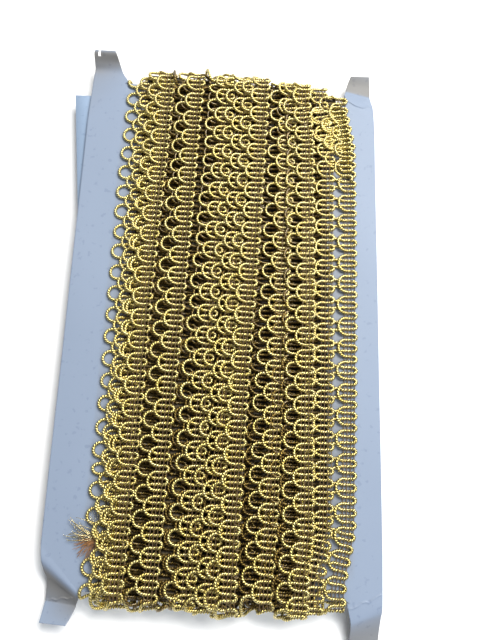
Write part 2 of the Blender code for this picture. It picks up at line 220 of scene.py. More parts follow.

# One row for each fold line of an ear, as in the frame: the outer and inner side of the ear, how
# far the card stands out of its own plane there, and how much painted shade greys the card where
# the ear turns away from the light, from 0 to 1.
Fold = namedtuple(
    "Fold", "outer outer_y inner inner_y outer_lift inner_lift outer_grey inner_grey"
)
TOP_LEFT_EAR = (
    Fold(0.5, 110.6, 16.9, 110.8, -0.2, 0.0, 0.3, 0.0),
    Fold(0.6, 116.9, 13.8, 115.9, -1.0, -0.9, 0.75, 0.15),
    Fold(0.6, 119.7, 12.2, 119.8, 0.7, 0.5, 0.9, 0.8),
    Fold(0.6, 122.7, 11.1, 122.5, 3.4, 3.1, 1.0, 1.0),
    Fold(1.1, 124.2, 10.4, 124.0, 4.0, 3.8, 0.3, 0.3),
)
TOP_RIGHT_EAR = (
    Fold(129.7, 100.7, 117.0, 105.6, -0.3, 0.0, 0.0, 0.0),
    Fold(129.3, 106.3, 116.8, 109.3, -2.4, -1.2, 0.0, 0.0),
    Fold(129.1, 109.8, 117.5, 111.4, -4.0, -2.4, 0.0, 0.0),
    Fold(129.1, 110.9, 117.7, 112.4, -4.2, -2.6, 0.9, 0.9),
    Fold(128.9, 115.5, 118.5, 115.6, -3.4, -2.0, 1.0, 1.0),
    Fold(128.5, 119.7, 119.8, 118.8, -1.8, -0.8, 0.8, 0.9),
)
BOTTOM_LEFT_EAR = (
    Fold(0.8, -96.0, 16.2, -107.6, 0.0, 0.0, 0.0, 0.0),
    Fold(1.6, -100.3, 15.8, -109.0, -2.4, -0.7, 1.0, 0.8),
    Fold(2.5, -103.6, 15.5, -110.1, -4.4, -1.4, 1.0, 1.0),
    Fold(2.3, -110.7, 14.8, -111.7, -6.0, -2.8, 0.6, 0.9),
    Fold(2.3, -111.6, 14.6, -112.6, -5.6, -2.8, 0.05, 0.8),
    Fold(2.2, -114.7, 13.7, -115.0, -3.6, -2.2, 0.0, 0.5),
    Fold(2.1, -117.8, 12.1, -118.3, -1.6, -0.6, 0.0, 0.0),
)
BOTTOM_RIGHT_EAR = (
    Fold(129.7, -105.2, 116.4, -107.6, 0.0, 0.0, 0.0, 0.0),
    Fold(129.6, -109.3, 117.7, -113.3, -0.5, -0.5, 0.05, 0.0),
    Fold(129.4, -112.4, 117.9, -116.0, -2.2, -1.6, 0.5, 0.5),
    Fold(129.1, -118.3, 117.8, -119.6, -4.8, -3.4, 0.8, 0.8),
    Fold(128.7, -124.2, 118.1, -124.2, -6.0, -5.4, 0.8, 0.8),
)

# Creases that cross the ears, and the slot torn in the tip of the upper left one, in columns from
# its outer side and rows from its end
Crease = namedtuple("Crease", "height width points")
CREASES = (
    Crease(0.35, 0.35, (
        (117.2, 105.7), (118.5, 104.8), (121.6, 102.8), (124.8, 101.9), (128.2, 102.4),
    )),
    Crease(0.35, 0.3, (
        (2.3, -110.9), (3.8, -111.1), (5.0, -110.5), (7.0, -110.8),
        (8.7, -109.8), (10.2, -109.6), (11.4, -109.9), (13.2, -109.0),
    )),
    Crease(0.3, 0.28, (
        (117.2, -108.8), (118.7, -108.5), (120.2, -107.8), (121.9, -106.5), (123.6, -106.1),
        (124.5, -106.6), (126.2, -105.2), (127.5, -104.3), (129.0, -103.5),
    )),
)
NICK_COLUMNS = (6, 10)
NICK_ROWS = 8

# The tapered sheet behind: its corners, and how it sags where nothing holds it
BACK_SHEET = ((-7.5, 104.0), (123.0, 100.4), (123.0, -101.0), (18.0, -103.5))
BACK_ROWS = 30
BACK_COLUMNS = 20
BACK_SAG = 0.35
BACK_FREE_FROM = 12.0
BACK_FREE_OVER = 20.0

# One row for each bunch of frayed ends: how many, between which angles and lengths, and how high
Bunch = namedtuple(
    "Bunch", "name count angle_from angle_to length_from length_to lift radius metal"
)
BUNCHES = (
    Bunch("thin_wires", 7, -84.0, -62.0, 9.0, 13.5, 2.6, 0.07, True),
    Bunch("gold_wires", 19, -40.0, 6.0, 8.0, 13.0, 2.2, 0.18, True),
    Bunch("core_threads", 26, 6.0, 66.0, 6.0, 10.5, 1.3, 0.15, False),
)
FRAY_ROOT = (20.4, -87.4)
FRAY_OVER = 0.25
FRAY_RISE = 0.3
FRAY_STEPS = 9

# Camera, as fitted to the two straight edges of the card
CAMERA_LENS = 31.5
CAMERA_DISTANCE = 233.2
CAMERA_TILT = 13.2
CAMERA_ROLL = 2.2
CAMERA_ASIDE = 7.4

# Lights: place and size in metres, power in watts. The fill lights the card and not the metal.
Light = namedtuple("Light", "name place width depth power colour glossy")
LIGHTS = (
    Light("window", (0.36, 0.45, 0.76), 0.8, 0.4, 17.0, (1.0, 0.985, 0.95), True),
    Light("fill", (0.35, -0.45, 0.5), 0.6, 0.6, 3.0, (0.85, 0.92, 1.0), False),
)
ROOM_COLOUR = (0.95, 0.97, 1.0, 1.0)
ROOM_LIGHT = 0.26
FLOOR_HALF = 1.5
FLOOR_BELOW = 0.0001


def place(x_from_edge, y, z):
    return Vector(((x_from_edge - CARD_WIDTH / 2.0) * MM, y * MM, z * MM))


def ease(t):
    t = np.clip(t, 0.0, 1.0)
    return t * t * (3.0 - 2.0 * t)


def notch_head(x):
    """Where the card's slanting upper notch ends, at a place across the card."""
    share = (x - NOTCH_LEFT) / (NOTCH_RIGHT - NOTCH_LEFT)
    return NOTCH_HEAD_LEFT + (NOTCH_HEAD_RIGHT - NOTCH_HEAD_LEFT) * share


def new_object(name, data):
    obj = bpy.data.objects.new(name, data)
    bpy.context.scene.collection.objects.link(obj)
    return obj


def mesh_from(name, points, faces, material):
    mesh = bpy.data.meshes.new(name)
    mesh.from_pydata(points, [], faces)
    mesh.materials.append(material)
    mesh.update()
    return mesh


# Materials


class Nodes:
    """A material's node tree, with short calls to add and link nodes."""

    def __init__(self, name):
        self.material = bpy.data.materials.new(name)
        self.material.use_nodes = True
        self.tree = self.material.node_tree
        self.shader = self.tree.nodes["Principled BSDF"]

    def add(self, kind, **values):
        node = self.tree.nodes.new(kind)
        for name, value in values.items():
            setattr(node, name, value)
        return node

    def link(self, output, socket):
        self.tree.links.new(output, socket)

    def feed(self, socket, value):
        if isinstance(value, (int, float)):
            socket.default_value = value
        else:
            self.link(value, socket)

    def math(self, operation, first, second=0.0, third=0.0):
        node = self.add("ShaderNodeMath", operation=operation)
        for socket, value in zip(node.inputs, (first, second, third)):
            self.feed(socket, value)
        return node.outputs[0]

    def noise(self, scale, detail=2.0, roughness=0.5, vector=None):
        node = self.add("ShaderNodeTexNoise")
        node.inputs["Scale"].default_value = scale
        node.inputs["Detail"].default_value = detail
        node.inputs["Roughness"].default_value = roughness
        if vector is None:
            vector = self.add("ShaderNodeTexCoord").outputs["Object"]
        self.link(vector, node.inputs["Vector"])
        return node.outputs["Fac"]

    def ramp(self, factor, stops):
        node = self.add("ShaderNodeValToRGB")
        elements = node.color_ramp.elements
        for element, (position, colour) in zip(elements, stops):
            element.position = position
            element.color = (*colour, 1.0)
        for position, colour in stops[2:]:
            elements.new(position).color = (*colour, 1.0)
        self.link(factor, node.inputs["Fac"])
        return node.outputs["Color"]

    def mix(self, factor, first, second, blend="MIX"):
        node = self.add("ShaderNodeMix", data_type="RGBA", blend_type=blend)
        self.feed(node.inputs["Factor"], factor)
        for socket, value in ((node.inputs["A"], first), (node.inputs["B"], second)):
            if isinstance(value, tuple):
                socket.default_value = (*value, 1.0)
            else:
                self.link(value, socket)
        return node.outputs["Result"]

    def bump(self, height, strength, distance, normal=None):
        node = self.add("ShaderNodeBump")
        node.inputs["Strength"].default_value = strength
        node.inputs["Distance"].default_value = distance
        self.link(height, node.inputs["Height"])
        if normal is not None:
            self.link(normal, node.inputs["Normal"])
        return node.outputs["Normal"]


def helix(n, axes, starts, pitch):
    """A ridge from 0 to 1 that winds round the cord, so many side by side, so far apart."""
    round_it = n.math("MULTIPLY", axes.outputs["X"], starts)
    turns = n.math("MULTIPLY_ADD", axes.outputs["Y"], 1.0 / (pitch * MM), round_it)
    wave = n.math("SINE", n.math("MULTIPLY", turns, 2.0 * math.pi))
    return n.math("MULTIPLY_ADD", wave, 0.5, 0.5)


def gold_cord(name, bright, deep, shadow, roughness, metallic):
    """Two plies twisted together, each wrapped in fine metal thread, with glints, dull places and
    painted shade in the ply valleys.
    """
    n = Nodes(name)
    wrap = n.add("ShaderNodeUVMap", uv_map="wrap")
    axes = n.add("ShaderNodeSeparateXYZ")
    n.link(wrap.outputs["UV"], axes.inputs["Vector"])
    ply = helix(n, axes, 2.0, PLY_PITCH)
    metal = helix(n, axes, -5.0, METAL_PITCH)
    glitter = n.noise(2600.0, 2.0, 0.7)
    patch = n.noise(190.0, 3.0, 0.6)
    body = n.ramp(patch, ((0.3, deep), (0.7, bright)))
    # The valleys between the plies are mixed towards the shadow colour: painted shade
    valley = n.math("POWER", n.math("SUBTRACT", 1.0, ply), 1.6)
    colour = n.mix(n.math("MULTIPLY", valley, 0.92), body, shadow)
    n.link(colour, n.shader.inputs["Base Color"])
    n.shader.inputs["Metallic"].default_value = metallic
    n.shader.inputs["Coat Weight"].default_value = 0.6
    n.shader.inputs["Coat Roughness"].default_value = 0.2
    spread = n.math("MULTIPLY_ADD", glitter, 0.24, roughness - 0.12)
    n.link(spread, n.shader.inputs["Roughness"])
    fine = n.bump(glitter, 0.3, 0.00008)
    wound = n.bump(metal, 0.3, 0.00005, fine)
    n.link(n.bump(ply, 0.85, 0.00015, wound), n.shader.inputs["Normal"])
    return n.material


def inner_material():
    """What is seen deep between the cords: ribs of gold across the wraps, darkened with painted
    shade.
    """
    n = Nodes("gold_gimp_inside_painted_shade")
    axes = n.add("ShaderNodeSeparateXYZ")
    n.link(n.add("ShaderNodeTexCoord").outputs["Object"], axes.inputs["Vector"])
    stray = n.math("MULTIPLY", n.noise(160.0, 2.0), 0.6)
    turns = n.math("MULTIPLY_ADD", axes.outputs["Y"], 4.0 / (REPEAT * MM), stray)
    wave = n.math("SINE", n.math("MULTIPLY", turns, 2.0 * math.pi))
    rib = n.math("MULTIPLY_ADD", wave, 0.5, 0.5)
    patchy = n.math("MULTIPLY", rib, n.noise(700.0, 3.0, 0.7))
    # Near-black to dim gold: the inner layers' gold with painted shade
    colour = n.ramp(patchy, ((0.2, (0.012, 0.008, 0.003)), (0.75, (0.13, 0.09, 0.025))))
    n.link(colour, n.shader.inputs["Base Color"])
    n.shader.inputs["Metallic"].default_value = 0.6
    n.shader.inputs["Roughness"].default_value = 0.45
    n.link(n.bump(patchy, 0.9, 0.0006), n.shader.inputs["Normal"])
    return n.material


def thread_material(name, light, dark, metallic):
    """Spun thread with a fine twist, lighter and darker along its length."""
    n = Nodes(name)
    wrap = n.add("ShaderNodeUVMap", uv_map="wrap")
    axes = n.add("ShaderNodeSeparateXYZ")
    n.link(wrap.outputs["UV"], axes.inputs["Vector"])
    turns = n.math("MULTIPLY_ADD", axes.outputs["Y"], THREAD_TWIST, axes.outputs["X"])
    wave = n.math("SINE", n.math("MULTIPLY", turns, 2.0 * math.pi))
    ridge = n.math("MULTIPLY_ADD", wave, 0.5, 0.5)
    colour = n.mix(n.noise(500.0, 3.0), light, dark)
    n.link(colour, n.shader.inputs["Base Color"])
    n.shader.inputs["Metallic"].default_value = metallic
    n.shader.inputs["Roughness"].default_value = 0.55
    n.link(n.bump(ridge, 0.5, 0.00005), n.shader.inputs["Normal"])
    return n.material


def card_material(name, base, shade, painted_card_shade):
    """Smooth coated card with faint fibres, specks and soft clouds, greyed by painted shade where
    marked.
    """
    n = Nodes(name)
    cloud = n.noise(16.0, 4.0, 0.55)
    tone = n.ramp(cloud, ((0.3, shade), (0.7, base)))
    # Painted shade: the stored amount mixes the card towards the grey shade colour
    painted_shade_node = n.add("ShaderNodeAttribute", attribute_name="painted_card_shade")
    tone = n.mix(painted_shade_node.outputs["Fac"], tone, painted_card_shade)
    speck = n.ramp(n.noise(420.0, 2.0, 0.5), ((0.3, (0.86, 0.87, 0.9)), (0.36, (1.0, 1.0, 1.0))))
    n.link(n.mix(1.0, tone, speck, "MULTIPLY"), n.shader.inputs["Base Color"])
    grain = n.noise(1500.0, 3.0, 0.6)
    n.link(n.math("MULTIPLY_ADD", grain, 0.2, 0.45), n.shader.inputs["Roughness"])
    n.shader.inputs["Specular IOR Level"].default_value = 0.35
    soft = n.bump(n.noise(60.0, 3.0, 0.5), 0.25, 0.0004)
    n.link(n.bump(grain, 0.18, 0.00006, soft), n.shader.inputs["Normal"])
    return n.material


def floor_material():
    """Plain pale paper, almost without gloss."""
    n = Nodes("pale_floor")
    n.shader.inputs["Base Color"].default_value = (0.93, 0.93, 0.93, 1.0)
    n.shader.inputs["Roughness"].default_value = 0.9
    n.shader.inputs["Specular IOR Level"].default_value = 0.1
    return n.material


# Cord swept along its path


def cord_tree():
    """Geometry Nodes: sweeps a round section along each path and keeps what the wrap needs."""
    tree = bpy.data.node_groups.new("swept_cord", "GeometryNodeTree")
    face = tree.interface
    face.new_socket("Geometry", in_out="INPUT", socket_type="NodeSocketGeometry")
    face.new_socket("Sides", in_out="INPUT", socket_type="NodeSocketInt")
    face.new_socket("Material", in_out="INPUT", socket_type="NodeSocketMaterial")
    face.new_socket("Geometry", in_out="OUTPUT", socket_type="NodeSocketGeometry")
    nodes, link = tree.nodes, tree.links.new
    inputs = nodes.new("NodeGroupInput")
    along_length = nodes.new("GeometryNodeSplineParameter")
    along = nodes.new("GeometryNodeStoreNamedAttribute")
    along.data_type, along.domain = "FLOAT", "POINT"
    along.inputs["Name"].default_value = "along"
    circle = nodes.new("GeometryNodeCurvePrimitiveCircle")
    circle.inputs["Radius"].default_value = 1.0
    round_factor = nodes.new("GeometryNodeSplineParameter")
    around = nodes.new("GeometryNodeStoreNamedAttribute")
    around.data_type, around.domain = "FLOAT", "POINT"
    around.inputs["Name"].default_value = "around"
    sweep = nodes.new("GeometryNodeCurveToMesh")
    sweep.inputs["Fill Caps"].default_value = True
    realize = nodes.new("GeometryNodeRealizeInstances")
    paint = nodes.new("GeometryNodeSetMaterial")
    output = nodes.new("NodeGroupOutput")
    link(inputs.outputs["Geometry"], along.inputs["Geometry"])
    link(along_length.outputs["Length"], along.inputs["Value"])
    link(inputs.outputs["Sides"], circle.inputs["Resolution"])
    link(circle.outputs["Curve"], around.inputs["Geometry"])
    link(round_factor.outputs["Factor"], around.inputs["Value"])
    link(along.outputs["Geometry"], sweep.inputs["Curve"])
    link(around.outputs["Geometry"], sweep.inputs["Profile Curve"])
    scale = sweep.inputs.get("Scale")
    if scale is not None:
        link(nodes.new("GeometryNodeInputRadius").outputs[0], scale)
    link(sweep.outputs["Mesh"], realize.inputs["Geometry"])
    link(realize.outputs["Geometry"], paint.inputs["Geometry"])
    link(inputs.outputs["Material"], paint.inputs["Material"])
    link(paint.outputs["Geometry"], output.inputs["Geometry"])
    return tree


def set_input(modifier, tree, name, value):
    """Sets one of a tree's inputs, found by name, by the identifier of its socket."""
    for item in tree.interface.items_tree:
        if item.item_type == "SOCKET" and item.in_out == "INPUT" and item.name == name:
            modifier[item.identifier] = value


def wrap_map(mesh):
    """Turns the stored lengths and angles into a UV map, run on past each seam."""
    count = len(mesh.loops)
    corner_vertex = np.empty(count, np.int32)
    mesh.loops.foreach_get("vertex_index", corner_vertex)
    stored = []
    for name in ("around", "along"):
        values = np.empty(len(mesh.vertices), np.float32)
        mesh.attributes[name].data.foreach_get("value", values)
        stored.append(values[corner_vertex])
    around, along = stored
    starts = np.empty(len(mesh.polygons), np.int32)
    totals = np.empty(len(mesh.polygons), np.int32)
    mesh.polygons.foreach_get("loop_start", starts)
    mesh.polygons.foreach_get("loop_total", totals)
    owner = np.repeat(np.arange(len(starts)), totals)
    for values, jump in ((around, 0.5), (along, 0.01)):
        highest = np.maximum.reduceat(values, starts)
        lowest = np.minimum.reduceat(values, starts)
        crossing = (highest - lowest > jump)[owner]
        behind = crossing & (values < ((highest + lowest) / 2.0)[owner])
        if values is around:
            values[behind] += 1.0
        else:
            values[behind] = highest[owner][behind] + CLOSING_STEP * MM
    layer = mesh.uv_layers.new(name="wrap")
    layer.data.foreach_set("uv", np.stack([around, along], 1).ravel())
    for name in ("around", "along"):
        mesh.attributes.remove(mesh.attributes[name])


def swept(name, paths, material, sides):
    """One piece from many paths. Each path is (points, radii, closed), all in metres."""
    curve = bpy.data.curves.new(name, "CURVE")
    curve.dimensions = "3D"
    for points, radii, closed in paths:
        spline = curve.splines.new("POLY")
        spline.points.add(len(points) - 1)
        flat = np.concatenate([points, np.ones((len(points), 1))], 1)
        spline.points.foreach_set("co", flat.ravel())
        spline.points.foreach_set("radius", np.asarray(radii, float))
        spline.use_cyclic_u = closed
    guide = new_object(name + "_path", curve)
    modifier = guide.modifiers.new("Cord", "NODES")
    modifier.node_group = CORD_TREE
    set_input(modifier, CORD_TREE, "Sides", sides)
    set_input(modifier, CORD_TREE, "Material", material)
    bpy.context.view_layer.update()
    graph = bpy.context.evaluated_depsgraph_get()
    mesh = bpy.data.meshes.new_from_object(guide.evaluated_get(graph), depsgraph=graph)
    bpy.data.objects.remove(guide)
    mesh.name = name
    wrap_map(mesh)
    mesh.shade_smooth()
    return new_object(name, mesh)


# The route of a wrap round the card


class Guide:
    """Where the plain edge of a wrap runs, as a closed line round the card, with its directions."""

    def __init__(self, wrap, seed):
        self.wrap = wrap
        draw = random.Random(seed)
        self.waves = [(draw.uniform(14.0, 60.0), draw.uniform(0.0, 6.3)) for _ in range(4)]
        front_z = CARD_TOP + BED + LAYER * wrap.level
        back_z = BACK_CARD_LOW - BED - LAYER * wrap.back_level
        depth = (LAYER * wrap.level + LAYER * wrap.back_level) / 2.0
        middle_x = wrap.right + wrap.lean / 2.0 - BRAID_WIDTH / 2.0
        head_y = notch_head(middle_x) - HEAD_TURN.start + wrap.head / 2.0
        foot_y = NOTCH_FOOT + FOOT_TURN.start - wrap.foot
        ys = np.arange(foot_y, head_y, GUIDE_STEP)
        front = np.stack([self.edge_x(ys, True), ys, np.full_like(ys, front_z)], 1)
        back = np.stack([self.edge_x(ys, False), ys, np.full_like(ys, back_z)], 1)[::-1]
        head_reach = HEAD_TURN.start + HEAD_TURN.stand_off + HEAD_TURN.slack * depth
        head_reach += wrap.head / 2.0
        foot_reach = FOOT_TURN.stand_off + FOOT_TURN.slack * depth
        top = self.rim(front_z, back_z, head_y, head_reach)
        foot = self.rim(back_z, front_z, foot_y, -foot_reach)
        line = np.concatenate([front, top, back, foot])
        closed = np.concatenate([line, line[:1]])
        steps = np.linalg.norm(np.diff(closed, axis=0), axis=1)
        self.length = steps.sum()
        self.s = np.concatenate([[0.0], np.cumsum(steps)])
        self.line = closed
        self.front_length = self.s[len(front)]
        ahead = np.roll(line, -1, 0) - np.roll(line, 1, 0)
        ahead /= np.linalg.norm(ahead, axis=1)[:, None]
        self.ahead = np.concatenate([ahead, ahead[:1]])
        self.count = round(self.length / REPEAT)
        self.front_share = self.front_length / REPEAT
        self.first = (foot_y - wrap.loop_at) / REPEAT

    def edge_x(self, y, on_front):
        wrap = self.wrap
        right = wrap.right if on_front else wrap.back_right
        lean = wrap.lean if on_front else wrap.back_lean
        squeeze = wrap.squeeze if on_front else wrap.back_squeeze
        wander = sum(np.sin(y / size + start) for size, start in self.waves) * WANDER / 2.0
        pull = ease((np.abs(y) - SQUEEZE_FROM) / SQUEEZE_OVER)
        return right + lean * y / RUN_LENGTH - squeeze * pull + wander * (1.0 - pull)

    def rim(self, z_from, z_to, start_y, reach):
        """Round an end of the card, from one face of it to the other."""
        turn = np.linspace(0.0, math.pi, RIM_STEPS)[1:-1]
        at_end = np.full_like(turn, start_y)
        x_from = self.edge_x(at_end, reach > 0.0)
        x_to = self.edge_x(at_end, reach < 0.0)
        x = x_from + (x_to - x_from) * ease(turn / math.pi)
        y = start_y + reach * np.sin(turn)
        z = (z_from + z_to) / 2.0 + (z_from - z_to) / 2.0 * np.cos(turn)
        return np.stack([x, y, z], 1)

    def position(self, repeats, across, height):
        """Points in metres from repeats along the wrap, distance from its plain edge and height."""
        below = -REPEAT * (np.mod(repeats + self.count / 2.0, self.count) - self.count / 2.0)
        pushed = ease((below - PACKED_FROM) / PACKED_OVER)
        pushed = pushed - ease((below - LET_OUT_FROM) / LET_OUT_OVER)
        packed = pushed * self.wrap.packed / REPEAT
        turned = np.mod(repeats + packed - self.first, self.count)
        known = [0.0, self.front_share, float(self.count)]
        s = np.interp(turned, known, [0.0, self.front_length, self.length])
        base = np.stack([np.interp(s, self.s, self.line[:, i]) for i in range(3)], 1)
        ahead = np.stack([np.interp(s, self.s, self.ahead[:, i]) for i in range(3)], 1)
        ahead /= np.linalg.norm(ahead, axis=1)[:, None]
        out = np.stack([np.zeros(len(s)), -ahead[:, 2], ahead[:, 1]], 1)
        out /= np.linalg.norm(out, axis=1)[:, None]
        left = -np.cross(ahead, out)
        lift = sum(np.sin(s / size * 0.7 + start) for size, start in self.waves) * LIFT_WANDER / 4.0
        points = base + left * across[:, None] + out * (height + np.maximum(lift, 0.0))[:, None]
        points[:, 0] -= CARD_WIDTH / 2.0
        points[:, 2] = np.maximum(points[:, 2], CORD_RADIUS + BED)
        return points * MM


# The two interlaced cords of the braid


def u_turn(middle, half):
    """The small turn at the plain edge, from one pass to the next."""
    rows = []
    for angle in (-60.0, -22.0, 22.0, 60.0):
        turn = math.radians(angle)
        across = U_TURN_START - (U_TURN_START - U_TURN_APEX) * math.cos(turn)
        rows.append((middle + half * math.sin(turn), across, CORD_RADIUS, 1.0))
    return rows


def heading_pass(at, outward, start, end):
    """A pass across the heading: full between the threads that bind it and pinched under them."""
    stops = []
    edges = [start] + [t for t in THREADS if start < t < end] + [end]
    for low, high in zip(edges, edges[1:]):
        stops.append(((low + high) / 2.0, CORD_RADIUS, SWOLLEN))
        if high < end:
            stops.append((high, CORD_RADIUS - PINCH_DROP, PINCHED))
    rows = [(at, across, height, width) for across, height, width in stops]
    return rows if outward else rows[::-1]


def comb_loop(draw):
    """The flat outer loop between the first and the last pass of a repeat."""
    depth = COMB_DEPTH + draw.uniform(-0.3, 0.25)
    skew = draw.uniform(-0.02, 0.02)
    rise = COMB_RISE + draw.uniform(-0.08, 0.2)
    rows = []
    for angle in range(0, 181, 20):
        turn = math.radians(angle)
        at = 0.5 - 3.0 * EIGHTH * math.cos(turn) + skew * math.sin(turn)
        across = COMB_START + depth * math.sin(turn)
        rows.append((at, across, CORD_RADIUS + rise * math.sin(turn) ** 0.7, 1.0))
    return rows


def round_loop(draw):
    """The open loop that stands out past the flat ones, its legs pressed under them."""
    radius = LOOP_RADIUS * draw.uniform(0.93, 1.04)
    centre = LOOP_CENTRE + draw.uniform(-0.4, 0.25)
    aside = draw.uniform(-0.03, 0.03)
    tip = draw.uniform(-0.1, 0.35)
    rows = [(1.0 - LOOP_LEG_AT, HEADING + 0.2, CORD_RADIUS - LOOP_LEG_DROP, 1.0)]
    for index in range(LOOP_STEPS):
        angle = math.radians(-LOOP_OPEN_ANGLE + 2.0 * LOOP_OPEN_ANGLE * index / (LOOP_STEPS - 1))
        at = 1.0 + radius / REPEAT * math.sin(angle) + aside * math.cos(angle / 2.0)
        across = centre + radius * math.cos(angle)
        out = (across - HEADING) / (centre + radius - HEADING)
        height = CORD_RADIUS - LOOP_LEG_DROP * (1.0 - out) + tip * out * out
        rows.append((at, across, height, 1.0))
    rows.append((1.0 + LOOP_LEG_AT, HEADING + 0.2, CORD_RADIUS - LOOP_LEG_DROP, 1.0))
    return rows


def tucked_loop():
    """What is left of a round loop where the braid was cut: a short turn kept under the run."""
    rows = []
    for angle in (-90.0, -45.0, 0.0, 45.0, 90.0):
        turn = math.radians(angle)
        rows.append((1.0 + 0.3 * math.sin(turn), HEADING + 1.2 * math.cos(turn), 0.36, 0.9))
    return rows


def flat_cord(draw):
    """One repeat of the cord whose loops lie flat on the braid."""
    slip = [draw.uniform(-SLIP, SLIP) for _ in range(2)]
    rows = u_turn(0.0, EIGHTH)
    rows += heading_pass(EIGHTH + slip[0], True, U_TURN_START, COMB_START - 0.3)
    rows += comb_loop(draw)
    rows += heading_pass(7.0 * EIGHTH + slip[1], False, U_TURN_START, COMB_START - 0.3)
    return rows


def round_cord(draw, tucked):
    """One repeat of the cord whose loops stand out."""
    slip = [draw.uniform(-SLIP, SLIP) for _ in range(2)]
    rows = heading_pass(3.0 * EIGHTH + slip[0], False, U_TURN_START, HEADING)
    rows += u_turn(0.5, EIGHTH)
    rows += heading_pass(5.0 * EIGHTH + slip[1], True, U_TURN_START, HEADING)
    rows += tucked_loop() if tucked else round_loop(draw)
    return rows


def thread_rows():
    """One repeat of a binding thread: over each pass and down between them."""
    rows = []
    for index in range(8):
        over = index % 2 == 0
        rows.append(((index + 1) / 8.0, THREAD_OVER if over else THREAD_BETWEEN))
    return rows


def cord_paths(guide, draw, first=0, last=None, missing=None):
    """The paths of both cords over the repeats asked for, or all round where none are named."""
    numbers = range(first, guide.count if last is None else last)
    paths = []
    for kind in ("flat", "round"):
        rows = []
        for number in numbers:
            if kind == "flat":
                one = flat_cord(draw)
            else:
                one = round_cord(draw, number + 1 == missing)
            rows += [(number + at, across, height, width) for at, across, height, width in one]
        at, across, height, width = np.array(rows).T
        paths.append((guide.position(at, across, height), width * CORD_RADIUS * MM, last is None))
    return paths


def thread_paths(guide):
    """The paths of the threads that bind one wrap, all round."""
    rows = []
    for number in range(guide.count):
        rows += [(number + at, height) for at, height in thread_rows()]
    at, height = np.array(rows).T
    paths = []
    for across in THREADS:
        points = guide.position(at, np.full_like(at, across), height)
        paths.append((points, np.full(len(points), THREAD_RADIUS * MM), True))
    return paths


def lower_wraps(name, wraps, seed, material):
    """Whole wraps beneath the ones that show, as one piece."""
    paths = []
    for index, wrap in enumerate(wraps):
        draw = random.Random(seed + LOWER_LOOPS_ON + index)
        paths += cord_paths(Guide(wrap, seed + index), draw)
    return swept(name, paths, material, FINE_SIDES)


def short_runs(name, runs, starts, seed, material, sides):
    """Runs on the front alone, each from the foot or from a repeat of its own up to the head."""
    paths = []
    for index, (run, start) in enumerate(zip(runs, starts)):
        guide = Guide(run, seed + index)
        low = math.ceil(guide.first) if start is None else start
        high = math.floor(guide.first + guide.front_share)
        paths += cord_paths(guide, random.Random(seed + LOOPS_ON + index), low, high)
    return swept(name, paths, material, sides)


def wound_pieces(gold, gold_in_painted_shade, warp):
    """Every wrap that shows, the ones beneath it, and the threads that bind them."""
    pieces = []
    threads = []
    for index, wrap in enumerate(WRAPS):
        guide = Guide(wrap, WRAP_SEED + index)
        missing = CUT_LOOP % guide.count if wrap.name == "first" else None
        draw = random.Random(WRAP_SEED + LOOPS_ON + index)
        paths = cord_paths(guide, draw, missing=missing)
        pieces.append(swept("gimp_wrap_" + wrap.name, paths, gold, CORD_SIDES))
        threads += thread_paths(guide)
    pieces.append(swept("binding_threads", threads, warp, FINE_SIDES))
    pieces.append(lower_wraps("gimp_wraps_lowest", UNDER_WRAPS, LOWEST_SEED, gold_in_painted_shade))
    pieces.append(lower_wraps("gimp_wraps_middle", MIDDLE_WRAPS, MIDDLE_SEED, gold_in_painted_shade))
    bunched = (BUNCHED_RUNS, BUNCHED_FROM, BUNCHED_SEED, gold, CORD_SIDES)
    pieces.append(short_runs("gimp_bunched_at_head", *bunched))
    between = (BETWEEN_RUNS, BETWEEN_FROM, BETWEEN_SEED, gold_in_painted_shade, FINE_SIDES)
    pieces.append(short_runs("gimp_runs_between", *between))
    return pieces


# The inner layers


def inner_reach(x, side):
    """How far the inner layers stand past the head or the foot, just beneath the wraps there."""
    turn = HEAD_TURN if side > 0.0 else FOOT_TURN
    reach = turn.stand_off
    for wrap in WRAPS:
        right = wrap.right + side * wrap.lean / 2.0 - wrap.squeeze
        if right - BRAID_WIDTH < x < right + INNER_PAST:
            depth = LAYER * (wrap.level + wrap.back_level) / 2.0
            more = wrap.head if side > 0.0 else wrap.foot
            reach = max(reach, turn.stand_off + turn.slack * depth + more - INNER_BELOW)
    return reach


def inner_outline(x, share):
    """The closed line of the inner layers round the card, as (y, z) points."""
    front_z = CARD_TOP + INNER_OVER
    back_z = BACK_CARD_LOW - INNER_OVER
    middle, half = (front_z + back_z) / 2.0, (front_z - back_z) / 2.0
    head, foot = notch_head(x), NOTCH_FOOT
    line = [(foot + (head - foot) * row / INNER_ROWS, front_z) for row in range(INNER_ROWS)]
    for start, side, pulled in ((head, 1.0, INNER_WIDER), (foot, -1.0, -INNER_PULL)):
        reach = side * inner_reach(x + pulled * share, side)
        for step in range(INNER_RIM_STEPS + 1):
            angle = math.pi * step / INNER_RIM_STEPS
            line.append((start + reach * math.sin(angle), middle + side * half * math.cos(angle)))
        if side > 0.0:
            rows = range(1, INNER_ROWS)
            line += [(head + (foot - head) * row / INNER_ROWS, back_z) for row in rows]
    return line


def inner_layers(material):
    """The inner layers as one dark ribbed band round the card, beneath every cord that shows."""
    points, faces = [], []
    for column in range(INNER_COLUMNS + 1):
        share = column / INNER_COLUMNS
        x = INNER_LEFT + (INNER_RIGHT - INNER_LEFT) * share
        for y, z in inner_outline(x, share):
            pull = ease((-y - SQUEEZE_FROM) / SQUEEZE_OVER) * INNER_PULL
            wider = ease((y - INNER_WIDER_FROM) / INNER_WIDER_OVER) * INNER_WIDER
            points.append(place(x + (wider - pull) * share, y, z))
    rows = len(points) // (INNER_COLUMNS + 1)
    for column in range(INNER_COLUMNS):
        for row in range(rows):
            after = (row + 1) % rows
            a, b = column * rows + row, column * rows + after
            faces.append((a, a + rows, b + rows, b))
    return finished_sheet("inner_layers", points, faces, material, INNER_OVER / 2.0)


# Cards


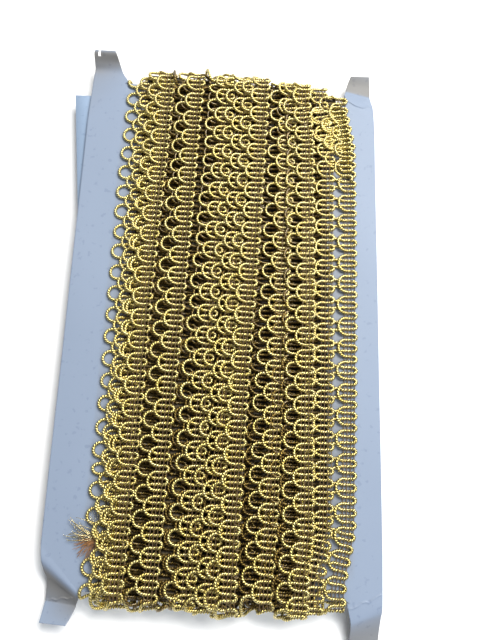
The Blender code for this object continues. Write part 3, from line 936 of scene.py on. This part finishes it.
def smooth_rows(rows):
    """Rows through the given ones, rounded between them and about one step apart."""
    rows = np.array(rows, float)
    padded = np.concatenate([2 * rows[:1] - rows[1:2], rows, 2 * rows[-1:] - rows[-2:-1]])
    found = [rows[0]]
    for index in range(len(rows) - 1):
        a, b, c, d = padded[index : index + 4]
        steps = math.ceil(np.abs(c - b).max() / ROW_STEP)
        for step in range(1, steps + 1):
            t = step / steps
            square = (2 * a - 5 * b + 4 * c - d) * t * t
            cube = (3 * b - a - 3 * c + d) * t ** 3
            found.append(0.5 * (2 * b + (c - a) * t + square + cube))
    return found


def crease_height(x, y):
    """How far the creases stand out at a place on the card."""
    height = 0.0
    here = Vector((x, y))
    for crease in CREASES:
        near = []
        for start, end in zip(crease.points, crease.points[1:]):
            line = Vector(end) - Vector(start)
            share = min(1.0, max(0.0, (here - Vector(start)).dot(line) / line.length_squared))
            near.append((Vector(start) + line * share - here).length)
        height += crease.height * math.exp(-((min(near) / crease.width) ** 2))
    return height


def card_height(x, y):
    """The slight unevenness of the card away from the winding."""
    return math.sin(x * 0.21 + y * 0.03) * 0.07 + math.sin(y * 0.083 + x * 0.05) * 0.12


def painted_winding_shade(x, y):
    """How much painted shade greys the card under the winding, from 0 to 1."""
    across = ease((x - WINDING_SHADE_LEFT) / WINDING_SHADE_OVER) * ease((WINDING_SHADE_RIGHT - x) / WINDING_SHADE_OVER)
    return WINDING_SHADE * float(across * ease((WINDING_SHADE_END - abs(y)) / WINDING_SHADE_OVER))


def side_strip(edge_x, notch_x, top_ear, foot_ear):
    """Rows of (outer, inner) points down one side of the card, in three parts."""
    low = (edge_x, -STRAIGHT_END, 0.0, 0.0, notch_x, NOTCH_FOOT, 0.0, 0.0)
    high = (edge_x, STRAIGHT_END, 0.0, 0.0, notch_x, notch_head(notch_x), 0.0, 0.0)
    ears = []
    for corner, folds in ((low, foot_ear), (high, top_ear)):
        rows = [corner]
        for f in folds:
            outer = (f.outer, f.outer_y, f.outer_lift, f.outer_grey)
            rows.append(outer + (f.inner, f.inner_y, f.inner_lift, f.inner_grey))
        ears.append(smooth_rows(rows))
    foot, rise = np.array(low), np.array(high) - np.array(low)
    body = [foot + rise * number / BODY_ROWS for number in range(BODY_ROWS)]
    return ears[0][:0:-1], body, ears[1]


def front_card(material):
    """The card as one sheet: two side strips with their ears, and what lies between them."""
    left = side_strip(0.0, NOTCH_LEFT, TOP_LEFT_EAR, BOTTOM_LEFT_EAR)
    right = side_strip(CARD_WIDTH, NOTCH_RIGHT, TOP_RIGHT_EAR, BOTTOM_RIGHT_EAR)
    points, faces, greys = [], [], []

    def strip(rows, flip):
        grid = []
        for row in rows:
            line = []
            for column in range(STRIP_COLUMNS + 1):
                share = column / STRIP_COLUMNS
                x, y, z, grey = row[:4] + (row[4:] - row[:4]) * share
                z += card_height(x, y) * (1.0 - share) + crease_height(x, y)
                points.append(place(x, y, CARD_TOP + z))
                # Painted shade under the winding, or that of the ear folds where it is greater
                greys.append(min(1.0, max(painted_winding_shade(x, y), grey)))
                line.append(len(points) - 1)
            grid.append(line)
        for number, (low, high) in enumerate(zip(grid, grid[1:])):
            torn = not flip and number >= len(grid) - 1 - NICK_ROWS
            for column, (a, b, c, d) in enumerate(zip(low, low[1:], high[1:], high)):
                if torn and column in range(*NICK_COLUMNS):
                    continue
                faces.append((a, d, c, b) if flip else (a, b, c, d))
        return grid

    left_grid = strip([*left[0], *left[1], *left[2]], False)
    right_grid = strip([*right[0], *right[1], *right[2]], True)
    left_from, right_from = len(left[0]), len(right[0])
    left_inner = [row[-1] for row in left_grid[left_from : left_from + BODY_ROWS + 1]]
    right_inner = [row[-1] for row in right_grid[right_from : right_from + BODY_ROWS + 1]]
    grid = []
    for a, b in zip(left_inner, right_inner):
        line = [a]
        for column in range(1, MIDDLE_COLUMNS):
            points.append(points[a].lerp(points[b], column / MIDDLE_COLUMNS))
            # The middle of the card lies under the winding and takes its painted shade
            greys.append(WINDING_SHADE)
            line.append(len(points) - 1)
        grid.append(line + [b])
    for low, high in zip(grid, grid[1:]):
        for a, b, c, d in zip(low, low[1:], high[1:], high):
            faces.append((a, b, c, d))
    piece = finished_sheet("card_with_ears", points, faces, material)
    # How much painted shade greys each point, on the folded ears and under the winding
    painted_card_shade = piece.data.attributes.new("painted_card_shade", "FLOAT", "POINT")
    painted_card_shade.data.foreach_set("value", greys)
    return piece


def back_card(material):
    """The tapered sheet behind, with a soft bow towards its free corner."""
    corners = [np.array(c) for c in BACK_SHEET]
    points, faces = [], []
    for row in range(BACK_ROWS + 1):
        v = row / BACK_ROWS
        left = corners[0] + (corners[3] - corners[0]) * v
        right = corners[1] + (corners[2] - corners[1]) * v
        for column in range(BACK_COLUMNS + 1):
            x, y = left + (right - left) * column / BACK_COLUMNS
            free = max(0.0, BACK_FREE_FROM - x) / BACK_FREE_OVER
            points.append(place(x, y, BACK_CARD_TOP - BACK_SAG * free * free * (1.0 - v)))
    for row in range(BACK_ROWS):
        for column in range(BACK_COLUMNS):
            a = row * (BACK_COLUMNS + 1) + column
            faces.append((a, a + BACK_COLUMNS + 1, a + BACK_COLUMNS + 2, a + 1))
    return finished_sheet("tapered_sheet", points, faces, material)


def finished_sheet(name, points, faces, material, thickness=SHEET):
    """A surface given its thickness downwards and a fine bevel along its edges."""
    obj = new_object(name, mesh_from(name, points, faces, material))
    obj.data.shade_smooth()
    solid = obj.modifiers.new("Thickness", "SOLIDIFY")
    solid.thickness = thickness * MM
    solid.offset = -1.0
    bevel = obj.modifiers.new("Edge", "BEVEL")
    bevel.width = SHEET_BEVEL * MM
    bevel.segments = 1
    bevel.limit_method = "ANGLE"
    bevel.angle_limit = math.radians(60.0)
    return obj


# The frayed end


def fray_paths(metal):
    """The loose wires, or the loose core threads, curling out from where the braid was cut."""
    draw = random.Random(FRAY_SEED)
    paths = []
    for bunch in BUNCHES:
        for number in range(bunch.count):
            share = (number + draw.uniform(-0.6, 0.6)) / bunch.count
            angle = math.radians(bunch.angle_from + (bunch.angle_to - bunch.angle_from) * share)
            length = draw.uniform(bunch.length_from, bunch.length_to)
            lift = bunch.lift * draw.uniform(0.2, 1.0)
            curl = draw.uniform(-0.9, 0.9) * (1.4 if bunch.metal else 0.7)
            x = FRAY_ROOT[0] + draw.uniform(0.0, 2.0)
            y = FRAY_ROOT[1] + draw.uniform(-1.6, 1.6)
            if bunch.metal != metal:
                continue
            points, radii = [], []
            for step in range(FRAY_STEPS + 1):
                t = step / FRAY_STEPS
                z = CARD_TOP + FRAY_OVER + lift * math.sin(t * 2.2) + FRAY_RISE * t
                points.append(place(x, y, z))
                radii.append(bunch.radius * MM * (1.0 - 0.5 * t))
                heading = angle + curl * (t - 0.4)
                x -= math.cos(heading) * length / FRAY_STEPS
                y -= math.sin(heading) * length / FRAY_STEPS
            paths.append((np.array(points), radii, False))
    return paths


# Scene


def aim(obj, target):
    ahead = (target - obj.location).normalized()
    obj.rotation_mode = "QUATERNION"
    obj.rotation_quaternion = ahead.to_track_quat("-Z", "Y")


def add_camera():
    """Nearly square over the card, from a little below its middle."""
    data = bpy.data.cameras.new("camera")
    data.lens = CAMERA_LENS
    data.clip_start = 0.01
    camera = new_object("camera", data)
    tilt = math.radians(CAMERA_TILT)
    roll = math.radians(CAMERA_ROLL)
    ahead = Vector((0.0, math.sin(tilt), -math.cos(tilt)))
    across = Vector((1.0, 0.0, 0.0))
    up = Vector((0.0, math.cos(tilt), math.sin(tilt)))
    turned_across = across * math.cos(roll) + up * math.sin(roll)
    turned_up = up * math.cos(roll) - across * math.sin(roll)
    target = Vector((CAMERA_ASIDE * MM, 0.0, CARD_TOP * MM))
    where = target - ahead * CAMERA_DISTANCE * MM
    matrix = Matrix((turned_across, turned_up, -ahead)).transposed().to_4x4()
    matrix.translation = where
    camera.matrix_world = matrix
    bpy.context.scene.camera = camera


def area_light(light):
    data = bpy.data.lights.new(light.name, "AREA")
    data.shape = "RECTANGLE"
    data.size = light.width
    data.size_y = light.depth
    data.energy = light.power
    data.color = light.colour
    lamp = new_object(light.name, data)
    lamp.location = Vector(light.place)
    lamp.visible_glossy = light.glossy
    aim(lamp, Vector((0.0, 0.0, 0.0)))


def light_the_scene():
    """An even pale room, a soft window from the head and the right, and a faint fill."""
    world = bpy.data.worlds.new("soft_room")
    world.use_nodes = True
    background = world.node_tree.nodes["Background"]
    background.inputs["Color"].default_value = ROOM_COLOUR
    background.inputs["Strength"].default_value = ROOM_LIGHT
    bpy.context.scene.world = world
    bpy.context.scene.view_settings.view_transform = "Standard"
    for light in LIGHTS:
        area_light(light)


def add_floor():
    half = FLOOR_HALF
    points = [(-half, -half, 0.0), (half, -half, 0.0), (half, half, 0.0), (-half, half, 0.0)]
    floor = new_object("floor", mesh_from("floor", points, [(0, 1, 2, 3)], floor_material()))
    floor.location.z = -FLOOR_BELOW


# The pieces, each on the frame's one body

CORD_TREE = cord_tree()
add_camera()
light_the_scene()
add_floor()

bright, deep, shadow = (1.0, 0.87, 0.37), (0.92, 0.74, 0.21), (0.09, 0.055, 0.012)
gold = gold_cord("gold_gimp", bright, deep, shadow, 0.33, 0.95)
# A much darker copy of the gold for the wraps beneath and the short runs between: painted shade
bright, deep, shadow = (0.38, 0.26, 0.06), (0.18, 0.12, 0.03), (0.025, 0.012, 0.006)
gold_in_painted_shade = gold_cord("gold_gimp_beneath_painted_shade", bright, deep, shadow, 0.38, 0.9)
bright, deep, shadow = (1.0, 0.90, 0.55), (0.80, 0.66, 0.30), (0.16, 0.10, 0.04)
wire = gold_cord("loose_wire", bright, deep, shadow, 0.28, 0.9)
inside = inner_material()
# The binding threads' own brown, made darker with painted shade where they lie between the passes
warp = thread_material("binding_thread", (0.22, 0.15, 0.07), (0.10, 0.06, 0.03), 0.2)
core = thread_material("core_thread", (0.46, 0.23, 0.08), (0.18, 0.08, 0.03), 0.0)
# Grey of the painted shade where the ears turn away from the light and under the winding
painted_card_shade = (0.181, 0.177, 0.172)
card = card_material("pale_card", (0.222, 0.272, 0.36), (0.212, 0.26, 0.347), painted_card_shade)
# The sheet behind has the card's blue, made paler as painted light against the shadow the front card
# casts on it
sheet = card_material("pale_card_behind", (0.267, 0.354, 0.486), (0.258, 0.341, 0.468), painted_card_shade)

for piece in [*wound_pieces(gold, gold_in_painted_shade, warp), inner_layers(inside)]:
    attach(piece, "root")
    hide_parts("wound_braid", "edge_loops_front", "edge_loops_back")

for name, metal, material in (("frayed_wires", True, wire), ("frayed_threads", False, core)):
    piece = swept(name, fray_paths(metal), material, FINE_SIDES)
    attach(piece, "root")
    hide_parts("frayed_end")

piece = front_card(card)
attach(piece, "root")
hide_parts("front_card")

piece = back_card(sheet)
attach(piece, "root")
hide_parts("back_card")
